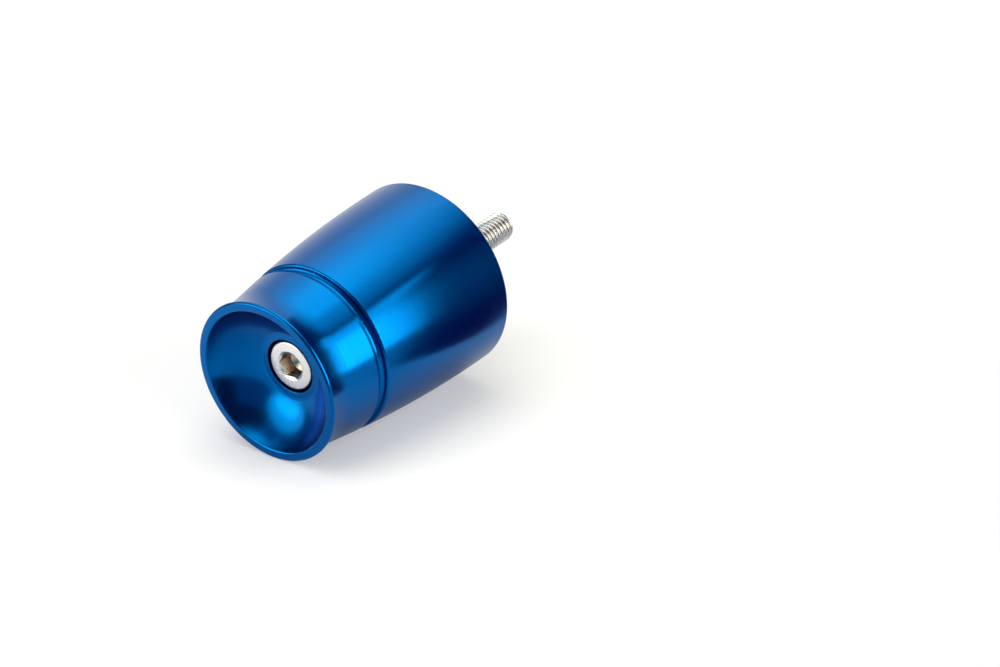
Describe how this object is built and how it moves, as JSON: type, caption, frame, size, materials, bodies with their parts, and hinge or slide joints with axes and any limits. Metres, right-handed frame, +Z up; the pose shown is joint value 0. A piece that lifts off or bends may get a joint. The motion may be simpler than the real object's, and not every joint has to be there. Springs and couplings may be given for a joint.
{
  "type": "bar end weight",
  "caption": "Turned handlebar end weight with a boss, bulged taper, groove, flared lip and dished face, held to the bar by a long socket head cap screw through its axis.",
  "frame": {"origin": "centre of the boss's end face, which meets the end of the handlebar", "axes": "+X along the turning axis into the handlebar, dished face towards -X, +Z up as on a level bar"},
  "size_m": [0.0732, 0.039, 0.039],
  "materials": {
    "blue_anodised": "turned and satin-gloss anodised in blue",
    "stainless": "bare stainless steel"
  },
  "bodies": {
    "root": {"weight_body": "blue_anodised", "cap_screw": "stainless"}
  },
  "joints": []
}
